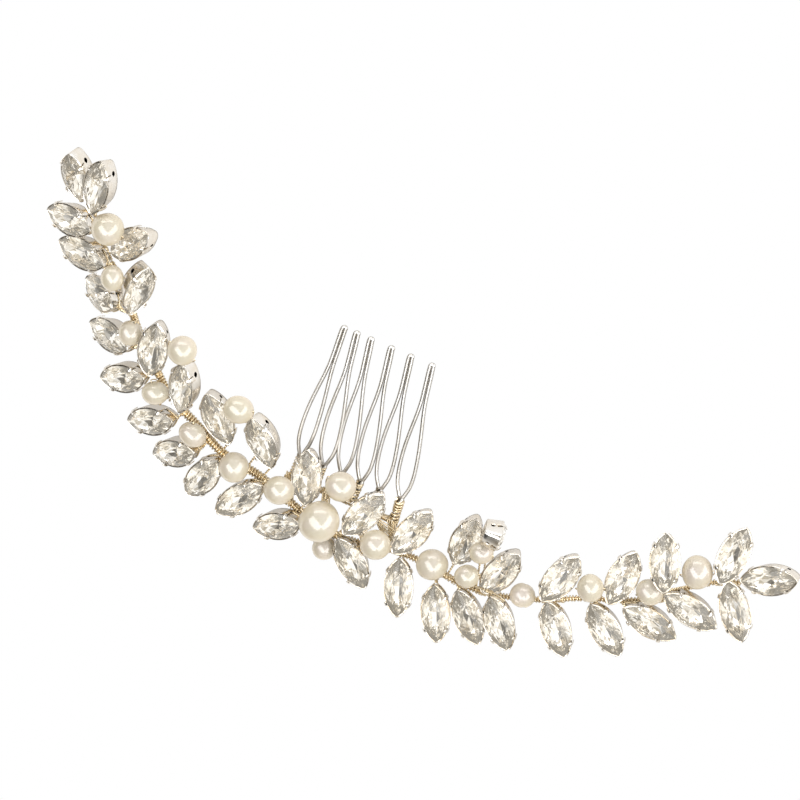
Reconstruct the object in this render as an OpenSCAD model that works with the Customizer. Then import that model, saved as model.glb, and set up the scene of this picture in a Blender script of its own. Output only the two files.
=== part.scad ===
// Hair vine: a wire stem with pointed crystals in claw settings and pearls on
// both sides, bound to a six-tooth wire comb. It lies on its back, face up.
// Frame: +X along the comb's bar, +Y the way the teeth point, +Z out of the
// face; the origin is under the middle of the bar, on the surface it lies on.

/* [Crystals] */
// Length of a crystal, point to point
stone_l = 15; // [11:0.5:19]
// Width of a crystal at its middle
stone_w = 7; // [5:0.25:9]
// Height of a crystal's crown above its girdle
crown_h = 1.1; // [0.6:0.1:1.6]
// Depth of a crystal's pavilion below its girdle
pavilion_h = 2.8; // [2:0.1:3.4]
// Thickness of a crystal's girdle
girdle_h = 0.3; // [0.2:0.05:0.5]

/* [Settings] */
// Height of a setting from its back to its rim
cup_h = 4; // [3.6:0.1:5]
// Thickness of a setting's wall and back
cup_wall = 0.25; // [0.2:0.05:0.5]
// How much a setting's side leans in from its rim to its back
cup_taper = 0.8; // [0.4:0.1:1.2]
// Clearance between a crystal and its setting
stone_fit = 0.2; // [0.1:0.01:0.25]
// Diameter of the thread holes in a setting's sides
thread_hole = 0.9; // [0.6:0.1:1.2]
// Width of a claw
claw_w = 1.1; // [0.8:0.1:1.6]

/* [Pearls] */
// Diameter of a usual pearl
pearl_d = 7.6; // [5:0.2:9]
// Diameter of the large pearl at the middle
centre_pearl_d = 10.4; // [8:0.2:13]
// Diameter of the hole drilled through a pearl
pearl_bore = 0.8; // [0.7:0.05:1.2]

/* [Wires] */
// Diameter of the wrapped stem
stem_d = 1.6; // [1.2:0.1:2]
// Diameter of the wires that hold crystals and pearls
stalk_d = 0.5; // [0.4:0.05:0.6]
// Clearance that a wire keeps from what it holds
wire_fit = 0.12; // [0.1:0.01:0.2]
// Room left between neighbouring pieces along the stem
leaf_gap = 0.05; // [0.05:0.05:4]

/* [Comb] */
// Number of teeth
teeth = 6; // [4:1:8]
// Distance between two teeth at the bar
tooth_pitch = 5.4; // [4.8:0.1:7]
// Length of a tooth from the bar to its tip
tooth_l = 43; // [30:1:55]
// Length of the bound neck below each tooth's loop
neck_l = 7; // [4:0.5:9]
// Diameter of the teeth's wire
tooth_d = 0.85; // [0.7:0.05:1.1]
// Diameter of the comb's bar
bar_d = 1.8; // [1.4:0.1:2.4]

/* [Hidden] */

$fn = 32;

// How far a cutter reaches past what it cuts.
PAST = 1;

setting_l = stone_l + 2 * (stone_fit + cup_wall);
setting_w = stone_w + 2 * (stone_fit + cup_wall);

// One step along the vine: the room that the largest kind of piece needs.
leaf_step = leaf_gap + max(setting_w, setting_l / 2, pearl_d);

// Route of the stem from its left end to its right end, in steps: [x, y, height].
STEM_ROUTE = [
    [-10.3, 6.35, 0.95], [-9.4, 5.0, 0.95], [-8.5, 4.15, 0.95], [-7.75, 3.15, 0.95],
    [-6.9, 2.2, 0.95], [-6.0, 1.35, 0.95], [-4.95, 0.75, 0.85], [-3.9, 0.15, 0.75],
    [-2.65, -0.15, 0.6], [-1.45, -0.65, 0.45], [-0.25, -1.05, 0.45], [1.0, -1.05, 0.4],
    [2.2, -0.8, 0.35], [3.35, -0.85, 0.3], [4.55, -1.0, 0.3], [5.75, -0.85, 0.25],
    [6.95, -0.4, 0.25], [8.05, 0.2, 0.25], [9.2, 0.7, 0.25], [10.3, 1.3, 0.25],
    [11.1, 2.25, 0.25], [12.2, 2.85, 0.25]];
LAST = len(STEM_ROUTE) - 1;

// Rings of the stem in each step, and how far off its heading is measured, in steps.
STEM_RINGS = 4;
HEADING_REACH = 0.1;
// Sides of the stem and the bar, and of every thinner wire.
STEM_SIDES = 8;
WIRE_SIDES = 6;

// Leaves, each a setting with its crystal: [station, side, lift, turn, pitch, roll,
// lead]. station: place along STEM_ROUTE. side: steps from the stem to the rim's
// inner point, left of the stem's way being positive. lift: height of that point
// above the stem, as a share of the setting's height. turn: degrees from the stem's
// way. pitch: degrees that the outer point rises. roll: degrees about the long axis.
// lead: stations from there to where its wire leaves the stem.
LEAVES_LEFT = [
    [0.05, -0.27, 0.2, 166, 25, -16, 0],
    [0.2, 0.25, 1.8, 150, 13, -22, 0],
    [0.5, 0.15, 1.7, -111, -29, 0, 0.25],
    [1.22, 0.19, 1.7, -129, -26, 0, 0.25],
    [1.1, 0.15, 0.0, 101, 25, -20, 0],
    [2.35, -0.28, 1.3, -123, -46, 0, 0.5],
    [2.65, 0.11, 0.95, 141, 12, 45, 0],
    [3.45, -0.35, 0.85, -125, -34, 0, 0],
    [4.2, -0.05, 1.2, 143, 9, 0, 0],
    [4.25, -0.25, 0.85, -99, -25, 0, 0],
    [5.4, 0.05, 0.85, 128, 15, -25, 0],
    [5.5, -0.26, 0.85, -117, -24, 0, 0],
    [6.95, 0.47, 0.35, 151, 10, 0, 0]];
LEAVES_CENTRE = [
    [6.5, -0.42, 0.85, -108, -27, 0, 0],
    [7.0, -0.12, 0.45, -86, -13, 0, 0],
    [8.1, 0.68, 0.75, 146, 11, -12, 0],
    [8.2, 0.17, 1.15, -102, -4, 0, 0.25],
    [9.5, 0.07, 1.3, -119, -20, 0, 0.25],
    [9.3, 0.47, 0.85, 128, 0, 0, 0],
    [10.6, 0.34, 0.85, 67, -3, 0, -0.25],
    [10.5, 0.3, 1.15, -45, -3, 0, 0],
    [12.15, 0.13, 0.85, -71, 14, 0, 0],
    [11.95, 0.1, 0.85, 65, -2, 0, 0],
    [13.3, -0.17, 0.85, -56, 10, 0, 0],
    [13.5, 0.55, 0.25, 98, 8, 0, 0],
    [14.5, 2.25, 0.5, 79, 65, 98, 0]];
LEAVES_RIGHT = [
    [14.5, 0.2, 0.85, 66, 5, 0, 0],
    [13.85, 0.16, 1.2, -43, 6, 0, 0],
    [14.8, 0.6, 2.3, -64, 0, 0, -1.5],
    [16.1, 0.4, 1.75, 49, -3, 0, 0],
    [16.2, 0.27, 1.0, -78, 6, 0, 0.25],
    [17.25, 0.14, 1.0, -61, 6, 0, 0],
    [17.7, 0.06, 0.9, 64, -8, 0, 0],
    [19.35, 0.55, 1.9, 58, -12, 0, 0.75],
    [18.05, 0.07, 1.1, -35, -3, 0, 0],
    [19.25, 0.45, 1.25, -61, 2, 0, -0.25],
    [20.5, 0.35, 1.65, 62, -16, 0, 0],
    [21.0, 0.32, 0.9, 10, 21, -10, 0],
    [20.65, 0.36, 0.85, -76, 21, 0, 0]];
LEAVES = concat(LEAVES_LEFT, LEAVES_CENTRE, LEAVES_RIGHT);

// Pearls: [station, side, lift, size, lead]. side and lift: steps from the stem to
// the pearl's middle. size: share of the usual pearl's diameter.
PEARLS_LEFT = [
    [0.5, 0.69, 0.9, 1.04, 0.5],
    [1.55, 0.3, 1.0, 0.79, 0],
    [3.05, -0.04, 0.5, 0.8, 0],
    [3.75, 1.52, 1.0, 0.95, 0.75],
    [4.65, -0.13, 0.45, 0.83, 0],
    [6.15, 1.8, 0.7, 0.95, 1.5],
    [6.05, -0.04, 0.5, 0.85, 0]];
PEARLS_CENTRE = [
    [7.4, 0.12, 0.5, 1.0, 0],
    [8.5, 0.53, 0.8, 0.98, 0],
    [9.6, 1.88, 0.5, 1.0, 0],
    [10.3, -0.45, 0.15, 0.8, 0],
    [11.55, 0.5, 0.75, 1.0, 0],
    [13.0, 0.4, 0.5, 1.04, 0]];
PEARLS_RIGHT = [
    [13.95, 0.77, 0.7, 0.8, 0.5],
    [14.1, 1.7, 0.7, 0.76, 0.25],
    [15.6, 0.42, 0.5, 0.83, 0],
    [17.3, 0.78, 0.75, 0.9, 0],
    [18.8, 0.56, 0.5, 0.88, 0],
    [20.1, 0.66, 0.5, 1.06, 0]];
// The large pearl at the middle, with its size as a share of its own diameter.
CENTRE_PEARL = [9.8, 0.65, 0.84, 1.0, 0];

// The teeth are bent by hand: how far each stands beside its even place at the bar
// and at its tip, in pitches, and how wide its right leg opens.
TOOTH_BENDS = [
    [0.0, -0.04, 0.75], [0.15, -0.08, 1.05], [0.05, -0.14, 1.0],
    [0.0, 0.0, 1.0], [-0.05, 0.0, 1.0], [0.0, -0.02, 1.0]];
// The teeth lean over to one side: pitches at the middle, per pitch, per pitch squared.
TIP_LEAN = [-0.95, -0.15, 0.05];
// A tooth's loop: share of its length, then how far its left and right legs
// stand out from its middle line as shares of the pitch.
LOOP_SHAPE = [
    [0.0, 0.08, 0.08], [0.04, 0.2, 0.18], [0.1, 0.33, 0.3], [0.2, 0.4, 0.36],
    [0.35, 0.38, 0.33], [0.5, 0.27, 0.24], [0.62, 0.16, 0.15], [0.72, 0.1, 0.1],
    [0.82, 0.09, 0.09], [0.92, 0.09, 0.09], [0.98, 0.08, 0.08], [1.0, 0.03, 0.03]];

// Wires that tie the bar to the stem: [station on the stem, share of the bar's half].
TIES = [[9.0, -0.9], [10.1, -0.25], [11.2, 0.35], [12.0, 0.9]];

// Thickness of a neck's bound strand, in tooth wires.
NECK_WIRES = 1.35;

// Facets: rings of the crystal as shares of its outline, its crown and its pavilion.
TABLE_SHARE = 0.52;
STAR_SHARE = 0.77;
STAR_RISE = 0.62;
PAVILION_SHARE = 0.5;
PAVILION_DROP = 0.6;

module navette() {
    outline = [for (k = [0 : 15]) rim_point(k, stone_l, stone_w)];
    table = [for (j = [0 : 7]) raised(outline[2 * j] * TABLE_SHARE, crown_h)];
    star = [for (j = [0 : 7]) raised(outline[2 * j + 1] * STAR_SHARE, crown_h * STAR_RISE)];
    girdle_top = [for (p = outline) raised(p, 0)];
    girdle_low = [for (p = outline) raised(p, -girdle_h)];
    below = [for (j = [0 : 7])
        raised(outline[2 * j + 1] * PAVILION_SHARE, -girdle_h - pavilion_h * PAVILION_DROP)];
    culet = [[0, 0, -girdle_h - pavilion_h]];
    faces = concat(
        [[for (j = [0 : 7]) j]],
        [for (j = [0 : 7]) [j, 8 + j, next8(j)]],
        [for (j = [0 : 7]) [j, 16 + 2 * j, 8 + j]],
        [for (j = [0 : 7]) [j, 8 + prev8(j), 16 + 2 * j]],
        [for (j = [0 : 7]) [8 + j, 16 + 2 * j, 17 + 2 * j]],
        [for (j = [0 : 7]) [8 + j, 17 + 2 * j, 16 + 2 * next8(j)]],
        [for (k = [0 : 15]) [16 + k, 32 + k, 32 + next16(k)]],
        [for (k = [0 : 15]) [16 + k, 32 + next16(k), 16 + next16(k)]],
        [for (j = [0 : 7]) [48 + j, 33 + 2 * j, 32 + 2 * j]],
        [for (j = [0 : 7]) [48 + j, 32 + 2 * next8(j), 33 + 2 * j]],
        [for (j = [0 : 7]) [48 + j, 32 + 2 * j, 56]],
        [for (j = [0 : 7]) [48 + prev8(j), 56, 32 + 2 * j]]);
    polyhedron(concat(table, star, girdle_top, girdle_low, below, culet), faces);
}

function next8(j) = (j + 1) % 8;
function prev8(j) = (j + 7) % 8;
function next16(k) = (k + 1) % 16;
function raised(p, z) = [p.x, p.y, z];

// Two arcs meet in the outline's points: their radius, and the arc centres' offset.
function arc_r(l, w) = (l * l + w * w) / (4 * w);
function arc_off(l, w) = arc_r(l, w) - w / 2;

// Point k of 16 on the outline, clockwise from its outer point.
function rim_point(k, l, w) =
    let (half = asin(l / 2 / arc_r(l, w)), a = half * (1 - abs(8 - k) / 4), side = k < 8 ? -1 : 1)
    [-arc_r(l, w) * sin(a), side * (arc_r(l, w) * cos(a) - arc_off(l, w))];

// A pointed oval between two cones that lean in towards the back.
module pod(l, w, low, high, lean) {
    r = arc_r(l, w);
    intersection() {
        translate([0, -arc_off(l, w), low])
            cylinder(r1 = r + low * lean, r2 = r + high * lean, h = high - low);
        translate([0, arc_off(l, w), low])
            cylinder(r1 = r + low * lean, r2 = r + high * lean, h = high - low);
    }
}

// Settings: where the thread holes and the wire's end are, and the bent claws.
HOLE_SHARE = 0.29;
HOLE_DROP = 0.62;
WIRE_DROP = 0.6;
CLAW_REACH = 0.65;
CLAW_DROP = 0.9;
CLAW_THICKNESS = 0.25;
CLAW_ROOT = 0.04;
claw_rise = 0.72 * crown_h;
side_lean = cup_taper / cup_h;
tip_lean = side_lean * 2 * arc_r(setting_l, setting_w) / setting_l;
inner_l = stone_l + 2 * stone_fit;
inner_w = stone_w + 2 * stone_fit;
claw_turn = asin(inner_l / 2 / arc_r(inner_l, inner_w)) / 2;

module setting() {
    difference() {
        pod(setting_l, setting_w, -cup_h, 0, side_lean);
        pod(inner_l, inner_w, cup_wall - cup_h, PAST, side_lean);
        for (end = [-1, 1])
            translate([end * HOLE_SHARE * setting_l, 0, -HOLE_DROP * cup_h])
                rotate([90, 0, 0])
                    cylinder(d = thread_hole, h = setting_w + 2 * PAST, center = true);
    }
    for (side = [0, 1], end = [-1, 1])
        mirror([0, side, 0])
            translate([0, -arc_off(inner_l, inner_w), 0])
                rotate([0, 0, end * claw_turn])
                    translate([0, arc_r(inner_l, inner_w), 0])
                        claw();
}

// A claw bent from the wall over the crystal's edge; the wall's inner side is at 0,
// and the claw's root starts a hair inside the wall.
module claw() {
    outside = cup_wall + CLAW_THICKNESS / 2;
    rotate([90, 0, 90])
        translate([0, 0, -claw_w / 2])
            linear_extrude(claw_w)
                polygon([[CLAW_ROOT, -CLAW_DROP],
                         [outside, -CLAW_DROP],
                         [outside, CLAW_THICKNESS / 2],
                         [CLAW_THICKNESS - CLAW_REACH, claw_rise + CLAW_THICKNESS],
                         [-CLAW_REACH, claw_rise],
                         [CLAW_ROOT, 0]]);
}

// The stem's route as one smooth curve, and its heading, at station t.
function blend(a, b, c, d, u) =
    0.5 * (2 * b + (c - a) * u + (2 * a - 5 * b + 4 * c - d) * u * u
           + (3 * b - a - 3 * c + d) * u * u * u);
function route(i) = STEM_ROUTE[max(0, min(LAST, i))];
function stem_at(t) =
    let (i = min(floor(t), LAST - 1))
    leaf_step * blend(route(i - 1), route(i), route(i + 1), route(i + 2), t - i);
function heading(t) =
    let (way = stem_at(min(t + HEADING_REACH, LAST)) - stem_at(max(t - HEADING_REACH, 0)))
    atan2(way.y, way.x);
function beside(t, side) =
    stem_at(t) + leaf_step * side * [-sin(heading(t)), cos(heading(t)), 0];

// Where a leaf's rim has its inner point, and a point of its own frame from there.
function leaf_foot(leaf) = beside(leaf[0], leaf[1]) + [0, 0, stem_d / 2 + leaf[2] * cup_h];
function leaf_point(leaf, p) =
    let (turn = heading(leaf[0]) + leaf[3],
         rolled = [p.x, p.y * cos(leaf[5]) - p.z * sin(leaf[5]), p.y * sin(leaf[5]) + p.z * cos(leaf[5])],
         pitched = [rolled.x * cos(leaf[4]) - rolled.z * sin(leaf[4]), rolled.y,
                    rolled.x * sin(leaf[4]) + rolled.z * cos(leaf[4])])
    leaf_foot(leaf) + [pitched.x * cos(turn) - pitched.y * sin(turn),
                       pitched.x * sin(turn) + pitched.y * cos(turn), pitched.z];

module on_leaf(leaf) {
    translate(leaf_foot(leaf))
        rotate([0, 0, heading(leaf[0]) + leaf[3]])
            rotate([0, -leaf[4], 0])
                rotate([leaf[5], 0, 0])
                    translate([setting_l / 2, 0, 0])
                        children();
}

// Where the wire that holds a leaf ends: just beside the leaf's inner point.
wire_off = wire_fit + stalk_d / 2;
HOLD_POINT = [tip_lean * WIRE_DROP * cup_h - wire_off * norm([1, tip_lean]), 0, -WIRE_DROP * cup_h];

module crystal(leaf) {
    color("#f0eee8") on_leaf(leaf) navette();
}

module settings(leaves) {
    color("#d9cfae")
        for (leaf = leaves)
            on_leaf(leaf) setting();
}

function pearl_middle(pearl) =
    beside(pearl[0], pearl[1]) + [0, 0, stem_d / 2 + pearl[2] * leaf_step];

function pearl_root(pearl) = stem_at(pearl[0] + pearl[4]);

// Turns +Z onto the line from one point to another.
module along(from, to) {
    way = to - from;
    translate(from)
        rotate([0, acos(way.z / norm(way)), atan2(way.y, way.x)])
            children();
}

module pearl(place, d) {
    middle = pearl_middle(place);
    along(middle, middle + (middle - pearl_root(place)))
        difference() {
            sphere(d = d);
            cylinder(d = pearl_bore, h = d + 2 * PAST, center = true);
        }
}

module pearls(places) {
    color("#efe3cd")
        for (place = places)
            pearl(place, place[3] * pearl_d);
}

module centre_pearl() {
    color("#ecdcc0") pearl(CENTRE_PEARL, CENTRE_PEARL[3] * centre_pearl_d);
}

// A tube of n sides round a line of points that never stands upright.
module tube(points, r, n) {
    last = len(points) - 1;
    rings = [for (i = [0 : last])
        let (way = points[min(i + 1, last)] - points[max(i - 1, 0)],
             ahead = way / norm(way),
             flat = cross([0, 0, 1], ahead),
             side = flat / norm(flat),
             top = cross(ahead, side))
        for (k = [0 : n - 1])
            points[i] + r * (cos(360 * k / n) * side + sin(360 * k / n) * top)];
    faces = concat(
        [[for (k = [0 : n - 1]) k]],
        [for (i = [0 : last - 1], k = [0 : n - 1])
            [i * n + k, (i + 1) * n + k, (i + 1) * n + (k + 1) % n, i * n + (k + 1) % n]],
        [[for (k = [n - 1 : -1 : 0]) last * n + k]]);
    polyhedron(rings, faces, convexity = 10);
}

// A straight wire with round ends.
module wire(from, to, d) {
    hull() {
        translate(from) sphere(d = d, $fn = WIRE_SIDES);
        translate(to) sphere(d = d, $fn = WIRE_SIDES);
    }
}

module stem() {
    color("#cdb98c") {
        tube([for (i = [0 : STEM_RINGS * LAST]) stem_at(i / STEM_RINGS)],
             stem_d / 2, STEM_SIDES);
        for (i = [0 : len(LEAVES) - 1])
            wire(stem_at(LEAVES[i][0] + LEAVES[i][6]), leaf_point(LEAVES[i], HOLD_POINT), stalk_d);
        for (place = concat(PEARLS_LEFT, PEARLS_CENTRE, PEARLS_RIGHT))
            pearl_wire(place, place[3] * pearl_d);
        pearl_wire(CENTRE_PEARL, CENTRE_PEARL[3] * centre_pearl_d);
        for (tie = TIES)
            wire(stem_at(tie[0]), [tie[1] * bar_half, -beside_bar, bar_z], stalk_d);
    }
}

// The wire that comes up from the stem and goes through a pearl.
module pearl_wire(place, d) {
    middle = pearl_middle(place);
    way = middle - pearl_root(place);
    wire(pearl_root(place), middle + way / norm(way) * (d / 2 - stalk_d / 2), stalk_d);
}

// The comb's bar lies just above the surface; its teeth go down to it.
bar_z = bar_d / 2 + wire_fit;
bar_half = (teeth - 1) / 2 * tooth_pitch + bar_d;
beside_bar = bar_d / 2 + wire_off;

// Where tooth i stands at the bar and at its tip, in pitches from the bar's middle.
function even_place(i) = i - (teeth - 1) / 2;
function bend(i) = TOOTH_BENDS[i % len(TOOTH_BENDS)];
function tooth_root(i) = even_place(i) + bend(i)[0];
function tooth_tip(i) =
    let (p = even_place(i))
    p + TIP_LEAN[0] + TIP_LEAN[1] * p + TIP_LEAN[2] * p * p + bend(i)[1];

// One leg of tooth i: side is -1 for its left one, 1 for its right one.
function leg(i, side) = [for (s = LOOP_SHAPE)
    let (middle = tooth_root(i) + (tooth_tip(i) - tooth_root(i)) * s[0],
         out = side < 0 ? -s[1] : max(LOOP_SHAPE[0][2], s[2] * bend(i)[2]))
    [tooth_pitch * (middle + out),
     neck_l + (tooth_l - neck_l) * s[0],
     bar_z + (tooth_d / 2 - bar_z) * s[0]]];

// Two strands cross in the neck between the bar and a tooth's loop.
module neck(i) {
    x = tooth_root(i) * tooth_pitch;
    for (side = [-1, 1])
        wire([x - side * tooth_d / 2, 0, bar_z], [x + side * tooth_d / 2, neck_l, bar_z],
             NECK_WIRES * tooth_d);
}

module comb() {
    color("#c9c2b0") {
        tube([[-bar_half, 0, bar_z], [bar_half, 0, bar_z]], bar_d / 2, STEM_SIDES);
        for (i = [0 : teeth - 1]) {
            right = leg(i, 1);
            back = [for (k = [len(right) - 1 : -1 : 0]) right[k]];
            tube(concat(leg(i, -1), back), tooth_d / 2, WIRE_SIDES);
            neck(i);
        }
    }
}

for (i = [0 : len(LEAVES) - 1])
    crystal(LEAVES[i]);
settings(LEAVES_LEFT);  // settings_left
settings(LEAVES_CENTRE);  // settings_centre
settings(LEAVES_RIGHT);  // settings_right
pearls(PEARLS_LEFT);  // pearls_left
pearls(PEARLS_CENTRE);  // pearls_centre
pearls(PEARLS_RIGHT);  // pearls_right
centre_pearl();
stem();
comb();
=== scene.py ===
# %% [markdown]
# # A hair vine of crystals, pearls and wire
#
# A maker of bridal jewellery binds a vine like this by hand. Pointed crystals sit in
# little claw settings, pearls are threaded on wire, and every wire is wound onto one
# stem. A wire comb is lashed to the middle of the stem and holds the vine in the hair.
#
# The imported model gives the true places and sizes. This lesson dresses it: each cell
# makes one kind of piece or one finish. Lengths are in millimetres until a mesh is
# made, because that is how the maker measures.

import bpy
import numpy as np
from mathutils import Matrix, Vector


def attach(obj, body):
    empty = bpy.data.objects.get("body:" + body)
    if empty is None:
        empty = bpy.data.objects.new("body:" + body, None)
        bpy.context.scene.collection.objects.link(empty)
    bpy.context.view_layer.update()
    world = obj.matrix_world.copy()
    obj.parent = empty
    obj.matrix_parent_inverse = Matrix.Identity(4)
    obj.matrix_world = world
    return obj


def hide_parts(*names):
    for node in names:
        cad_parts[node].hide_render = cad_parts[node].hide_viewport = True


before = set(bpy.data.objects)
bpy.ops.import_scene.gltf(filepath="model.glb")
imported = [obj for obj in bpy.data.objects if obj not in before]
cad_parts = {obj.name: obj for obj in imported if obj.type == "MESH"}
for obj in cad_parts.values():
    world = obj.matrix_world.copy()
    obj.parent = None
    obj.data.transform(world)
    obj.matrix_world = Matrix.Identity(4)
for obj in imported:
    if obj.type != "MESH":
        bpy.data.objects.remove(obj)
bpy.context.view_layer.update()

MM = 0.001
CRYSTALS = sorted(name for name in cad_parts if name.startswith("navette"))
PARTS = ("left", "centre", "right")
print("crystals:", len(CRYSTALS), "nodes:", len(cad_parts))

# %% [markdown]
# ## Mesh helpers
# A piece is a set of points and the faces between them. Blender could build each one
# with operators, but a whole array of points from one formula is quicker, and it can
# be read like the drawing of the piece. So each maker below returns points and faces,
# and one helper turns them into an object.


# %% Points and faces into an object
def unit(vectors):
    """Each vector divided by its own length."""
    return vectors / np.linalg.norm(vectors, axis=-1, keepdims=True)


def joined(parts):
    """Several (points, faces) as one: each part's faces count on from the points before it."""
    points, faces, first = [], [], 0
    for some_points, some_faces in parts:
        points.append(some_points)
        faces.extend([[corner + first for corner in face] for face in some_faces])
        first += len(some_points)
    return np.concatenate(points), faces


def grid_faces(rows, columns, inward=False, ring=False):
    """Faces of a grid whose rows close on themselves: two points of a row and two of the next.

    A ring's last row is joined to its first. Otherwise one face closes each end.
    """
    i, k = np.meshgrid(np.arange(rows if ring else rows - 1), np.arange(columns), indexing="ij")
    below, after = (i + 1) % rows, (k + 1) % columns
    corners = [i * columns + k, i * columns + after, below * columns + after, below * columns + k]
    start, end = list(range(columns)), list(range((rows - 1) * columns, rows * columns))
    if inward:
        corners, start, end = corners[:1] + corners[:0:-1], start[::-1], end[::-1]
    walls = np.stack(corners, axis=-1).reshape(-1, 4).tolist()
    return walls if ring else walls + [start[::-1], end]


def put_in_scene(name, data):
    """A new object that holds a mesh, a lamp or a camera."""
    thing = bpy.data.objects.new(name, data)
    bpy.context.scene.collection.objects.link(thing)
    return thing


def add_piece(name, shape, finishes, nodes, crease=None, kinds=None):
    """An object from points in mm. It rides on the part and stands for the named CAD nodes."""
    points, faces = shape
    mesh = bpy.data.meshes.new(name)
    mesh.from_pydata((np.asarray(points) * MM).tolist(), [], [list(map(int, f)) for f in faces])
    for material in finishes:
        mesh.materials.append(material)
    if kinds is not None:
        mesh.polygons.foreach_set("material_index", np.asarray(kinds, dtype=np.int32))
    if crease is not None:
        mesh.polygons.foreach_set("use_smooth", np.ones(len(faces), dtype=bool))
        mesh.set_sharp_from_angle(angle=np.radians(crease))
    mesh.validate()
    mesh.update()
    piece = put_in_scene(name, mesh)
    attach(piece, "root")
    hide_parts(*nodes)
    print(name, "points:", len(points), "faces:", len(faces))


# %% [markdown]
# ## Lines and wires
# A bent wire is a tube along a line. The line is a Catmull-Rom curve: it passes through
# a few chosen points and turns smoothly between them. The tube is a grid, one way along
# the line and the other way round it. A curve object with a bevel would look the same,
# but a grid in numpy can also be wound round another line, as binding wire is.


# %% Curves, tubes and windings
def smooth_line(points, steps):
    """Catmull-Rom curve: each stretch blends four neighbouring points with cubic weights."""
    p = np.asarray(points, dtype=float)
    p = np.concatenate([p[:1], p, p[-1:]])
    u = np.arange(steps)[:, None, None] / steps
    a, b, c, d = (p[None, i:len(p) - 3 + i] for i in range(4))
    line = 0.5 * (2 * b + (c - a) * u + (2 * a - 5 * b + 4 * c - d) * u**2
                  + (3 * b - a - 3 * c + d) * u**3)
    line = line.transpose(1, 0, 2).reshape(-1, 3)
    return np.concatenate([line, p[-1:]])


def length_along(line):
    """Length of the line from its start to each of its points."""
    return np.concatenate([[0], np.cumsum(np.linalg.norm(np.diff(line, axis=0), axis=1))])


def evenly(line, count):
    """The same line with `count` points at even lengths along it."""
    run = length_along(line)
    at = np.linspace(0, run[-1], count)
    return np.stack([np.interp(at, run, line[:, axis]) for axis in range(3)], axis=1)


def frames_along(line, across):
    """At each point: the way ahead, and two directions square to it, the first nearest `across`."""
    ahead = unit(np.gradient(line, axis=0))
    across = np.broadcast_to(np.asarray(across, dtype=float), line.shape)
    side = unit(across - (across * ahead).sum(1, keepdims=True) * ahead)
    return ahead, side, np.cross(ahead, side)


def tube(line, radius, sides, across=(0, 0, 1)):
    """Point plus radius times (cos a side + sin a top), for a all the way round, with end caps."""
    _, side, top = frames_along(line, across)
    a = 2 * np.pi * np.arange(sides) / sides
    ring = np.cos(a)[:, None] * side[:, None] + np.sin(a)[:, None] * top[:, None]
    radius = np.broadcast_to(radius, len(line))
    points = line[:, None] + radius[:, None, None] * ring
    return points.reshape(-1, 3), grid_faces(len(line), sides)


SLACK_OUT = 0.3


def wound(line, radius, pitch, phase=0.0, across=(0, 0, 1), per_turn=10, wobble=0.0, seed=1):
    """A helix round the line: one turn each `pitch`, at one radius or at radii spread along it.

    Each turn has a slack of its own, as large as `wobble`: it comes early or late, and lies
    further in or out. Also returns the direction from the line to each point.
    """
    turns = length_along(line)[-1] / pitch
    centre = evenly(line, max(int(turns * per_turn), 4) + 1)
    _, side, top = frames_along(centre, across)
    share = np.linspace(0, 1, len(centre))
    radius = np.interp(share, np.linspace(0, 1, np.size(radius)), np.atleast_1d(radius))
    slack = np.interp(share * turns, np.arange(int(turns) + 3),
                      np.random.default_rng(seed).normal(0, wobble, int(turns) + 3))
    a = (2 * np.pi * (share * turns + slack) + phase)[:, None]
    out = np.cos(a) * side + np.sin(a) * top
    return centre + (radius * (1 + SLACK_OUT * slack))[:, None] * out, out


# %% [markdown]
# ## The camera and the lamps
# The camera's place and aim were worked out from the photograph. It stands about 65
# degrees above the surface, on the side that the comb's teeth point to. Two long strips
# of light meet in a V in front of the vine, which is the shape that every pearl
# mirrors. Seen through glass they would burn whole facets out, so they are hidden from
# light that has passed into a crystal. A third strip, a little warmer, fills from above.

# %% Camera
CAMERA_PLACE = np.array([20.4, 271.1, 516.6])
CAMERA_AIM = np.array([4.0, 30.8, 0.0])
PICTURE_UP = np.array([-0.3533, 0.9355, 0.0])
PICTURE_PIXELS = 800
FOCAL_PIXELS = 2337
SENSOR = 36
NEAREST_SEEN = 10

back = unit(CAMERA_PLACE - CAMERA_AIM)
up = unit(PICTURE_UP - PICTURE_UP @ back * back)
right = np.cross(up, back)
camera = put_in_scene("camera", bpy.data.cameras.new("camera"))
turn = Matrix(np.stack([right, up, back], axis=1).tolist()).to_4x4()
camera.matrix_world = Matrix.Translation(Vector(CAMERA_PLACE * MM)) @ turn
camera.data.sensor_width = SENSOR
camera.data.lens = SENSOR * FOCAL_PIXELS / PICTURE_PIXELS
camera.data.clip_start = NEAREST_SEEN * MM
bpy.context.scene.camera = camera
print("camera is", round(float(np.linalg.norm(CAMERA_PLACE - CAMERA_AIM))), "mm from its aim")

# %% Lamps
LAMP_REACH = 800
WARM_WHITE = (1.0, 0.97, 0.93)


def from_camera(way):
    """A place at the lamps' reach from the camera's aim, along a mix of right, up and back."""
    way = unit(np.array(way, dtype=float))
    return CAMERA_AIM + LAMP_REACH * (way[0] * right + way[1] * up + way[2] * back)


def strip_light(name, start, end, width, power, colour=(1, 1, 1)):
    """A lamp as long as the way from start to end, which faces the camera's aim."""
    start, end = from_camera(start), from_camera(end)
    middle = (start + end) / 2
    ahead = unit(CAMERA_AIM - middle)
    long_way = unit(end - start - (end - start) @ ahead * ahead)
    lamp = bpy.data.lights.new(name, "AREA")
    lamp.shape = "RECTANGLE"
    lamp.size, lamp.size_y = width * MM, float(np.linalg.norm(end - start)) * MM
    lamp.energy = power
    lamp.color = colour
    holder = put_in_scene(name, lamp)
    turned = np.stack([np.cross(long_way, -ahead), long_way, -ahead], axis=1)
    holder.matrix_world = Matrix.Translation(Vector(middle * MM)) @ Matrix(turned.tolist()).to_4x4()
    return holder


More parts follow.
